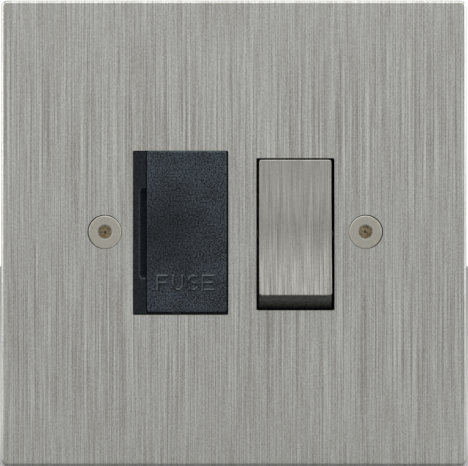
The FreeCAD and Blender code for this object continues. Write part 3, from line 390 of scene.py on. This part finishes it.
def letters():
    f = bar_letter(F_LEFT, F_REACH, F_ARM) + [(F_LEFT + STROKE, FOOT)]
    e = bar_letter(E_LEFT, E_REACH, E_ARM)
    e += [(E_LEFT + STROKE, FOOT + STROKE), (E_LEFT + E_REACH, FOOT + STROKE), (E_LEFT + E_REACH, FOOT)]
    low, high = FOOT + HALF_STROKE, TOP - HALF_STROKE
    u = [(U_LEFT, TOP), (U_LEFT, low + U_STEM_END)]
    u += bend(U_CENTRE, low + U_BOWL_RISE, U_BOWL_WIDE, U_BOWL_RISE, 184, 356)
    u += [(U_RIGHT, low + U_STEM_END), (U_RIGHT, TOP)]
    step = (TOP - FOOT - STROKE) / 4
    s = bend(S_CENTRE, high - step, S_WIDE, step, 22, 262)
    s += bend(S_CENTRE, low + step, S_WIDE, step, 82, -158)
    return [f, ribbon(u, HALF_STROKE), ribbon(s, HALF_STROKE), e]


def raised_marking(name, outlines):
    """Letters cut like a chisel's edge, steeper to the right and below, standing on the drawer's face."""
    curve = bpy.data.curves.new(name, "CURVE")
    curve.dimensions = "2D"
    curve.fill_mode = "BOTH"
    curve.extrude = LETTER_BEVEL * MM
    curve.bevel_depth = LETTER_BEVEL * MM
    curve.bevel_resolution = 0
    curve.offset = -LETTER_BEVEL * MM
    for outline in outlines:
        line = curve.splines.new("POLY")
        line.points.add(len(outline) - 1)
        for point, (x, z) in zip(line.points, outline):
            point.co = (x * MM, z * MM, 0.0, 1.0)
        line.use_cyclic_u = True
    drawn = bpy.data.objects.new(name + "_drawn", curve)
    mesh = bpy.data.meshes.new_from_object(drawn)
    bpy.data.objects.remove(drawn)
    lean = mathutils.Matrix(((1, 0, LETTER_LEAN, 0), (0, 1, -LETTER_LEAN, 0),
                             (0, 0, LETTER_STEEP, 0), (0, 0, 0, 1)))
    sunk = mathutils.Matrix.Translation((0.0, 0.0, -LETTER_BEVEL * MM))
    upright = mathutils.Matrix.Rotation(math.pi / 2, 4, "X")
    stood = mathutils.Matrix.Translation((0.0, FACE_Y * MM, 0.0)) @ upright
    mesh.transform(stood @ lean @ sunk)
    mesh.shade_flat()
    made = bpy.data.objects.new(name, mesh)
    bpy.context.scene.collection.objects.link(made)
    return made


marking = raised_marking("drawer_marking", letters())
marking.data.materials.clear()
marking_black = moulding(
    "marking_black", (0.0040, 0.0065, 0.0095), 0.30, 0.00033, 0.000004,
    mottle=0.3, edge=0.0, gloss=0.52)
marking_shader = next(n for n in marking_black.node_tree.nodes if n.type == "BSDF_PRINCIPLED")
marking_shader.inputs["Specular Tint"].default_value = (0.80, 0.94, 1.0, 1.0)
marking.data.materials.append(marking_black)
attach(marking, "fuse_drawer")


# Floor, light and camera

FLOOR_REACH = 3.0
FLOOR_COLOUR = (0.46, 0.46, 0.455)
SENSOR_MM = 36.0
VIEW_WIDTH = 0.08646
CAMERA_DISTANCE = 0.5
CAMERA_X, CAMERA_Z = 0.000046, 0.00003

# Place, size and power
LAMPS = {
    "lamp_top": ((0.0, -0.20, 0.50), (0.6, 0.35), 1.6),
    "lamp_right": ((0.72, -0.08, 0.15), (0.8, 0.9), 4.9),
    "lamp_left": ((-0.72, -0.16, 0.15), (0.9, 0.9), 4.7),
}


def floor():
    mesh = bpy.data.meshes.new("floor")
    reach, z = FLOOR_REACH, -PLATE_HALF
    corners = [(-reach, -reach, z), (reach, -reach, z), (reach, reach, z), (-reach, reach, z)]
    mesh.from_pydata(corners, [], [(0, 1, 2, 3)])
    made = bpy.data.objects.new("floor", mesh)
    bpy.context.scene.collection.objects.link(made)
    mat, tree, shader = new_material("floor_pale")
    soft = noise(tree, object_place(tree), even(9.0))
    feed(tree, shader, {
        "Base Color": tinted(tree, FLOOR_COLOUR, spread(tree, soft, 0.3, 0.7, 0.99, 1.01)),
        "Roughness": 0.9,
    })
    made.data.materials.append(mat)


def lamp(name, place, size, power):
    """A rectangular lamp that points at the middle of the plate."""
    light = bpy.data.lights.new(name, "AREA")
    light.shape = "RECTANGLE"
    light.size, light.size_y = size
    light.energy = power
    made = bpy.data.objects.new(name, light)
    made.location = place
    way = mathutils.Vector((0.0, 0.0, 0.0)) - made.location
    made.rotation_euler = way.to_track_quat("-Z", "Y").to_euler()
    bpy.context.scene.collection.objects.link(made)


def studio():
    """A white world that lights the object more from above, and is seen and mirrored evenly."""
    world = bpy.data.worlds.new("studio")
    bpy.context.scene.world = world
    world.use_nodes = True
    tree = world.node_tree
    back = next(n for n in tree.nodes if n.type == "BACKGROUND")
    rise = spread(tree, split(tree, add(tree, "TexCoord").outputs["Generated"])["Z"], -1.0, 1.0, 0.25, 0.75)
    ray = add(tree, "LightPath").outputs
    mirrored = math_node(tree, "MAXIMUM", ray["Is Glossy Ray"], ray["Is Transmission Ray"])
    seen = math_node(tree, "MAXIMUM", ray["Is Camera Ray"], mirrored)
    level = add(tree, "Mix", {0: seen, 2: rise, 3: 1.0}, data_type="FLOAT")
    feed(tree, back, {"Color": (1.0, 1.0, 1.0, 1.0), "Strength": level.outputs[0]})
    for name, (place, size, power) in LAMPS.items():
        lamp(name, place, size, power)


def camera():
    """Square on to the plate."""
    data = bpy.data.cameras.new("camera")
    data.sensor_width = SENSOR_MM
    data.lens = SENSOR_MM * CAMERA_DISTANCE / VIEW_WIDTH
    made = bpy.data.objects.new("camera", data)
    made.location = (CAMERA_X, PLATE_FRONT - CAMERA_DISTANCE, CAMERA_Z)
    made.rotation_euler = (math.pi / 2, 0.0, 0.0)
    bpy.context.scene.collection.objects.link(made)
    bpy.context.scene.camera = made


floor()
studio()
camera()
bpy.context.scene.view_settings.view_transform = "Standard"
